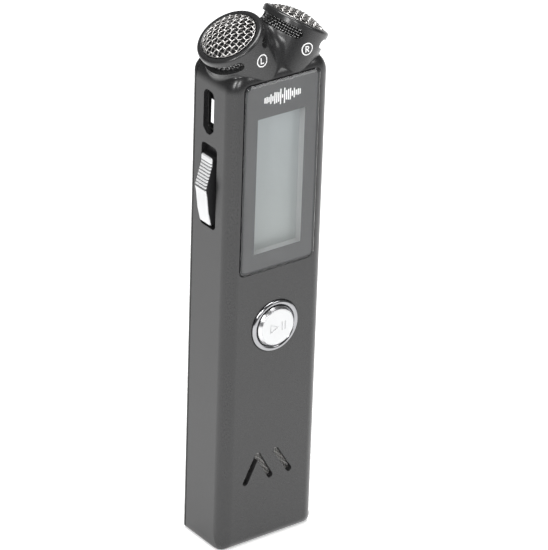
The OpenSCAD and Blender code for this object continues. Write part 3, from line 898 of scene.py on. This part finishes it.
def make_speaker_mesh():
    """Fine woven wire behind the speaker slots."""
    middle = (SPEAKER_LOW + SPEAKER_HIGH) / 2
    half = (SPEAKER_HIGH - SPEAKER_LOW) / 2
    pitch, radius = 0.42, 0.09

    def surface(u, v):
        place = np.column_stack([middle[0] + u, np.full_like(u, middle[1]), middle[2] + v])
        return place, np.tile([0, -1.0, 0], (len(u), 1))

    parts = []
    for family, (span, reach) in enumerate(((half[0], half[2]), (half[2], half[0]))):
        for i in range(-int(span / pitch), int(span / pitch) + 1):
            run = np.linspace(-reach, reach, round(2 * reach / pitch * 6))
            still = np.full_like(run, i * pitch)
            u, v = (still, run) if family == 0 else (run, still)
            place, normal = surface(u, v)
            lift = radius * 0.95 * np.cos(math.pi * run / pitch) * (1 if (i + family) % 2 else -1)
            parts.append(tube(place + lift[:, None] * normal, normal, radius, 6))
    points, faces = joined(parts)
    mesh = outward(mesh_from("speaker_wire", points, faces))
    shade_by_angle(mesh, 60)
    new_piece("speaker_wire", mesh, WIRE, "case", "wire_mesh", ("speaker_mesh",))


# ---------------------------------------------------------------- display, button and slider


def stacked(levels, closed_low=True):
    """Points and faces through outlines of equal length, given as (points) rows, capped at the ends."""
    n = len(levels[0])
    points = np.vstack(levels)
    faces = []
    for level in range(len(levels) - 1):
        for i in range(n):
            k = (i + 1) % n
            faces.append((level * n + i, level * n + k, (level + 1) * n + k, (level + 1) * n + i))
    if closed_low:
        faces.append(tuple(range(n))[::-1])
    faces.append(tuple(range((len(levels) - 1) * n, len(levels) * n)))
    return points, faces


def make_lens():
    """Clear pane with a wide bevel round its face."""
    bevel, foot = 0.48, 0.12
    levels = []
    for inset, y in ((0, FRONT_Y), (0, FRONT_Y - foot), (0.04, FRONT_Y - foot - 0.06),
                     (bevel - 0.06, LENS_Y + 0.03), (bevel, LENS_Y)):
        low = (LENS_LOW[0] + inset, LENS_LOW[2] + inset)
        high = (LENS_HIGH[0] - inset, LENS_HIGH[2] - inset)
        outline = arc_outline(low, high, [1.15 - inset] * 4, 10)
        levels.append(np.array([(x, y, z) for x, z in outline]))
    mesh = outward(mesh_from("lens_pane", *stacked(levels)))
    shade_by_angle(mesh, 25)
    piece = new_piece("lens_pane", mesh, LENS, "case", "lens_plastic", ("display_lens",))
    even_shading(piece)


def lathe(name, profile, centre, steps=128):
    """Turned solid about the Y axis through centre. profile is (radius, y) points of a closed outline."""
    turn = np.linspace(0, 2 * math.pi, steps, endpoint=False)
    rows = [np.column_stack([centre[0] + r * np.cos(turn), np.full(steps, y), centre[1] + r * np.sin(turn)])
            for r, y in profile]
    n = len(profile)
    faces = []
    for i in range(n):
        for j in range(steps):
            k, m = (j + 1) % steps, (i + 1) % n
            faces.append((i * steps + j, i * steps + k, m * steps + k, m * steps + j))
    return outward(mesh_from(name, np.vstack(rows), faces))


def make_ring():
    """Half-round polished ring, seated in the front."""
    outer, inner = RING_HIGH[0] - 0.02, BUTTON_R + 0.12
    half = (outer - inner) / 2
    crown = [(inner + half - half * math.cos(t), FRONT_Y - 0.5 * math.sin(t))
             for t in np.linspace(0, math.pi, 17)]
    profile = [*crown, (outer, FRONT_Y + 0.5), (inner, FRONT_Y + 0.5)]
    mesh = lathe("play_ring_band", profile, (0, BUTTON_Z))
    shade_by_angle(mesh, 40)
    new_piece("play_ring_band", mesh, CHROME, "case", "bright_chrome", ("play_ring",))


BUTTON_Z = (RING_LOW[2] + RING_HIGH[2]) / 2
BUTTON_R = 4.1
BUTTON_FACE = BUTTON_LOW[1]
BEZEL_W = 0.5


def play_mark(x, z):
    """Distance to the engraved triangle and two bars."""
    z = np.abs(z - BUTTON_Z)
    left = -1.7 - x
    slant = (z * 1.95 + (x - 0.25) * 1.05) / math.hypot(1.95, 1.05)
    triangle = np.abs(np.maximum(left, slant) + 0.1) - 0.1
    bars = np.minimum(np.abs(x - 1.01), np.abs(x - 1.71)) - 0.1
    return np.minimum(triangle, np.maximum(bars, z - 0.95))


def button_field(p):
    x, y, z = p[..., 0], p[..., 1], p[..., 2]
    out = np.hypot(x, z - BUTTON_Z)
    disc = rounded(out - BUTTON_R + BEZEL_W, BUTTON_FACE - y, 0.12)
    cap = np.maximum(disc, y - FRONT_Y - 1.3)
    return np.maximum(cap, -np.maximum(play_mark(x, z), y - BUTTON_FACE - 0.13))


def make_button():
    """Silver button with its engraved mark, and the flange and stem behind it."""
    fine = 0.075
    points, faces = contour(
        button_field, spaced((-4.3, 4.3, fine)), spaced((BUTTON_FACE - 0.2, BUTTON_FACE + 0.6, fine),
                                                     (BUTTON_FACE + 0.6, FRONT_Y + 1.5, 0.3)),
        spaced((BUTTON_Z - 4.3, BUTTON_Z + 4.3, fine)))
    mesh = mesh_from("play_cap", points, faces)
    simplify(mesh)
    shade_by_angle(mesh, 35)
    even_shading(new_piece("play_cap", mesh, SILVER, "play_button", "silver_plate", ("play_button",)))
    inner, low = BUTTON_R - BEZEL_W, BUTTON_FACE + 0.06
    profile = [(inner, low), (inner + 0.08, low - 0.02),
               (BUTTON_R - 0.08, low + 0.42), (BUTTON_R, low + 0.55),
               (BUTTON_R, FRONT_Y + 1.3), (inner, FRONT_Y + 1.3)]
    mesh = lathe("play_bezel", profile, (0, BUTTON_Z))
    shade_by_angle(mesh, 25)
    new_piece("play_bezel", mesh, BEZEL, "play_button", "bright_chrome")


def simplify(mesh, degrees=0.3):
    """Joins the faces of flat areas."""
    bm = bmesh.new()
    bm.from_mesh(mesh)
    bmesh.ops.remove_doubles(bm, verts=bm.verts, dist=2e-6)
    bmesh.ops.dissolve_limit(bm, angle_limit=math.radians(degrees), verts=bm.verts, edges=bm.edges)
    bm.to_mesh(mesh)
    bm.free()


KNOB_Z = (KNOB_LOW[2], KNOB_HIGH[2])
KNOB_HALF = (KNOB_HIGH[1] - KNOB_LOW[1]) / 2
RIDGE_Z = KNOB_Z[0] + 7.7
RIB_PITCH = 0.6
FACE_T = 0.32


def knob_solid(p):
    """Depth under the knob's face, and the whole knob: a long wedge that rises to a ridge."""
    x, y, z = p[..., 0], np.abs(p[..., 1] - KNOB_Y), p[..., 2]
    low, high = KNOB_Z
    stations = (low, low + 0.6, low + 3, RIDGE_Z - 1.4, RIDGE_Z - 0.2, RIDGE_Z + 0.3, RIDGE_Z + 4.7, high)
    proud = np.interp(z, stations, (0.3, 0.42, 1.0, 1.4, 1.65, 1.62, 0.4, 0.38))
    face = -HALF_W - proud - x
    outline = rounded(y - KNOB_HALF, np.abs(z - (low + high) / 2) - (high - low) / 2, 0.55)
    step = z - RIDGE_Z - 0.75
    number = np.clip(np.round(step / RIB_PITCH), 0, 7)
    rib_groove = np.maximum(np.abs(step - number * RIB_PITCH) - 0.12, -face - FACE_T - 0.1)
    ridge_groove = np.maximum(np.abs(z - RIDGE_Z - 0.1) - 0.2, -face - FACE_T - 0.1)
    return face, outline, np.minimum(rib_groove, ridge_groove)


def knob_face_field(p):
    """Silver face of the knob: a thin plate, slotted between the ribs."""
    face, outline, grooves = knob_solid(p)
    plate = np.maximum(smooth_max(face, outline + 0.15, 0.3), -face - FACE_T)
    return np.maximum(plate, -grooves)


def knob_core_field(p):
    """Dark core of the knob, under its face."""
    face, outline, _ = knob_solid(p)
    return np.maximum(np.maximum(face + FACE_T - 0.02, outline), p[..., 0] + HALF_W - 1.3)


def make_knob():
    grid = (spaced((-HALF_W - 1.8, -HALF_W + 0.3, 0.08), (-HALF_W + 0.3, -HALF_W + 1.5, 0.4)),
            spaced((KNOB_Y - 2.3, KNOB_Y + 2.3, 0.115)), spaced((KNOB_Z[0] - 0.3, KNOB_Z[1] + 0.3, 0.06)))
    for name, field, material, slot, replaced in (
            ("record_knob", knob_face_field, SILVER, "silver_plate", ("rec_slider",)),
            ("record_knob_core", knob_core_field, BLACK, "black_plastic", ())):
        mesh = mesh_from(name, *contour(field, *grid))
        simplify(mesh)
        shade_by_angle(mesh, 40)
        even_shading(new_piece(name, mesh, material, "rec_slider", slot, replaced))


# ---------------------------------------------------------------- prints


def skin_y(x, z):
    """Where the outer skin's front is, at x and z."""
    x, z = np.asarray(x, float), np.asarray(z, float)
    near, far = np.full_like(x, -8.0), np.full_like(x, -1.0)
    for _ in range(30):
        middle = (near + far) / 2
        outside = skin_field(np.stack([x, middle, z], -1)) > 0
        near, far = np.where(outside, middle, near), np.where(outside, far, middle)
    return near


def stroke(points, width, closed=False, gap=0.12):
    """Flat band along a line in X and Z, as rows of two points across it."""
    points = np.array(points, float)
    if closed:
        points = np.vstack([points, points[:1]])
    fine = [points[0]]
    for a, b in zip(points[:-1], points[1:]):
        n = max(1, round(np.linalg.norm(b - a) / gap))
        fine += [a + (b - a) * (i + 1) / n for i in range(n)]
    fine = np.array(fine)
    along = np.gradient(fine, axis=0)
    if closed:
        along[0] = along[-1] = fine[1] - fine[-2]
    along /= np.linalg.norm(along, axis=1, keepdims=True)
    side = np.column_stack([-along[:, 1], along[:, 0]]) * width / 2
    return fine + side, fine - side


def printed(name, strokes, depth_of, body="case", thick=0.02, slot="silver_plate", replaced=()):
    """Thin white print of bands, laid on the surface y = depth_of(x, z)."""
    parts = []
    for left, right in strokes:
        n = len(left)
        flat = np.vstack([left, right])
        y = depth_of(flat[:, 0], flat[:, 1])
        front = np.column_stack([flat[:, 0], y - thick, flat[:, 1]])
        rear = np.column_stack([flat[:, 0], y + thick, flat[:, 1]])
        points = np.vstack([front, rear])
        faces = []
        for i in range(n - 1):
            a, b, c, d = i, i + 1, n + i + 1, n + i
            faces += [(a, b, c, d), (2 * n + d, 2 * n + c, 2 * n + b, 2 * n + a),
                      (a, 2 * n + a, 2 * n + b, b), (c, 2 * n + c, 2 * n + d, d)]
        faces += [(0, n, 3 * n, 2 * n), (n - 1, 3 * n - 1, 4 * n - 1, 2 * n - 1)]
        parts.append((points, faces))
    mesh = outward(mesh_from(name, *joined(parts)))
    new_piece(name, mesh, PRINT, body, slot, replaced)


def arc_points(centre, r, start, end, steps=24):
    turn = np.radians(np.linspace(start, end, steps + 1))
    return np.column_stack([centre[0] + r * np.cos(turn), centre[1] + r * np.sin(turn)])


def make_channel_marks():
    """Ring with the channel's letter, on the front of each barrel."""
    for word, x, z in (("left", -4.8, 102.0), ("right", 5.3, 101.9)):
        at = np.array([x, z])
        strokes = [stroke(arc_points(at, 1.12, 0, 360, 48), 0.2, gap=1)]
        if word == "left":
            strokes += [stroke([at + (-0.3, 0.6), at + (-0.3, -0.58)], 0.2),
                        stroke([at + (-0.4, -0.5), at + (0.4, -0.5)], 0.2)]
        else:
            bowl = arc_points(at + (0.02, 0.25), 0.27, 90, -90, 10)
            strokes += [stroke([at + (-0.32, 0.62), at + (-0.32, -0.6)], 0.2),
                        stroke([at + (-0.25, 0.52), *bowl, at + (-0.25, -0.02)], 0.18, gap=1),
                        stroke([at + (0.0, -0.05), at + (0.34, -0.6)], 0.2)]
        printed(f"channel_mark_{word}", strokes, skin_y)


def make_level_bars():
    """Generic row of sound-level bars, printed behind the lens above the display."""
    strokes = []
    for i in range(-9, 10):
        x = i * 0.44
        tall = 0.35 + 1.25 * abs(math.sin(1.3 * i)) * math.exp(-(i / 7) ** 2)
        strokes.append(stroke([(x, 93.9 - tall), (x, 93.9 + tall)], 0.24))
    printed("level_bars", strokes, lambda x, z: np.full_like(x, FRONT_Y - 0.03))


# ---------------------------------------------------------------- carried-over nodes

PLAIN_NODES = {
    "lens_mask": MASK, "lens_tape": FOAM, "display_frame": FRAME_PLASTIC, "display_flex": FLEX,
    "play_switch": BLACK, "slider_carrier": BLACK, "switch_lever": NYLON, "slide_switch": PLATE,
    "key_switches": BLACK,
    "usb_tongue": BLACK, "main_board": BOARD, "processor": CHIP, "memory_chip": CHIP,
    "board_parts": CERAMIC, "board_screws": STEEL, "battery": FOIL, "battery_tape": TAPE,
    "battery_pad": FOAM, "battery_leads": JACKET, "speaker": BLACK, "speaker_leads": JACKET,
    "mic_capsule_left": FELT, "mic_capsule_right": FELT, "mic_boot_left": RUBBER, "mic_boot_right": RUBBER,
    "mic_leads": JACKET,
}


def dress_nodes():
    low, high = box_mm("lcd_panel")
    PLAIN_NODES["lcd_panel"] = display_glass("lcd_glass", low[2], high[2])
    for name, material in PLAIN_NODES.items():
        node = frame["nodes"][name]
        node.data.materials.clear()
        node.data.materials.append(material)


def make_small_parts():
    """CAD parts whose edges are rounded."""
    softened("rear_cover", "back_cover", CASE, "case_plastic", 0.28, segments=3)
    softened("cover_screws", "back_screws", STEEL, "steel", 0.05)
    for key in ("menu_key", "previous_key", "next_key", "volume_key"):
        softened(key, f"{key}_cap", CASE, "case_plastic", 0.12)
    shell = socket_shell_painted_shade("socket_shell_painted_shade", USB_LOW[0] + 0.25)
    softened("usb_socket", "usb_shell", shell, "bright_chrome", 0.05)
    softened("headphone_jack", "phone_jack", BLACK, "black_plastic", 0.12)


# ---------------------------------------------------------------- stage


def soft_light(name, place, size, power, colour=(1, 1, 1), aim=(0, 0, 55)):
    light = bpy.data.lights.new(name, "AREA")
    light.shape = "RECTANGLE"
    light.size, light.size_y = size[0] * MM, size[1] * MM
    light.energy = power
    light.color = colour
    lamp = bpy.data.objects.new(name, light)
    bpy.context.scene.collection.objects.link(lamp)
    lamp.location = Vector(place) * MM
    lamp.rotation_mode = "QUATERNION"
    lamp.rotation_quaternion = (Vector(aim) * MM - lamp.location).to_track_quat("-Z", "Y")


def make_stage():
    """Plain pale floor, a faint surround and soft lights."""
    reach = 3000
    corners = [(-reach, -reach, 0), (reach, -reach, 0), (reach, reach, 0), (-reach, reach, 0)]
    mesh = mesh_from("floor", corners, [(0, 1, 2, 3)])
    floor = bpy.data.objects.new("floor", mesh)
    bpy.context.scene.collection.objects.link(floor)
    floor.location.z = -0.0001
    m = Nodes("pale_floor")
    shader = m.shader(Roughness=0.9)
    m.link(m.two_tone(m.noise(40.0), (0.92, 0.92, 0.92), (0.94, 0.94, 0.94)), shader.inputs["Base Color"])
    shader.inputs["Emission Color"].default_value = (1, 1, 1, 1)
    shader.inputs["Emission Strength"].default_value = 0.4
    mesh.materials.append(m.material)
    world = bpy.data.worlds.new("surround")
    world.use_nodes = True
    world.node_tree.nodes["Background"].inputs["Color"].default_value = (1, 1, 1, 1)
    world.node_tree.nodes["Background"].inputs["Strength"].default_value = 0.15
    bpy.context.scene.world = world
    soft_light("key", (-430, -200, 400), (70, 260), 1.5)
    soft_light("second", (-250, -430, 420), (70, 260), 1.2)
    soft_light("top", (20, 30, 640), (420, 300), 3.8, aim=(0, 0, 0))
    soft_light("front", (170, -230, 260), (120, 120), 0.2, aim=(30, -50, 0))


bpy.context.scene.view_settings.view_transform = "Standard"
make_camera()
make_case()
make_lens()
make_ring()
make_button()
make_knob()
make_small_parts()
for side, word in ((-1, "left"), (1, "right")):
    make_microphone(side, word)
make_speaker_mesh()
make_channel_marks()
make_level_bars()
dress_nodes()
make_stage()
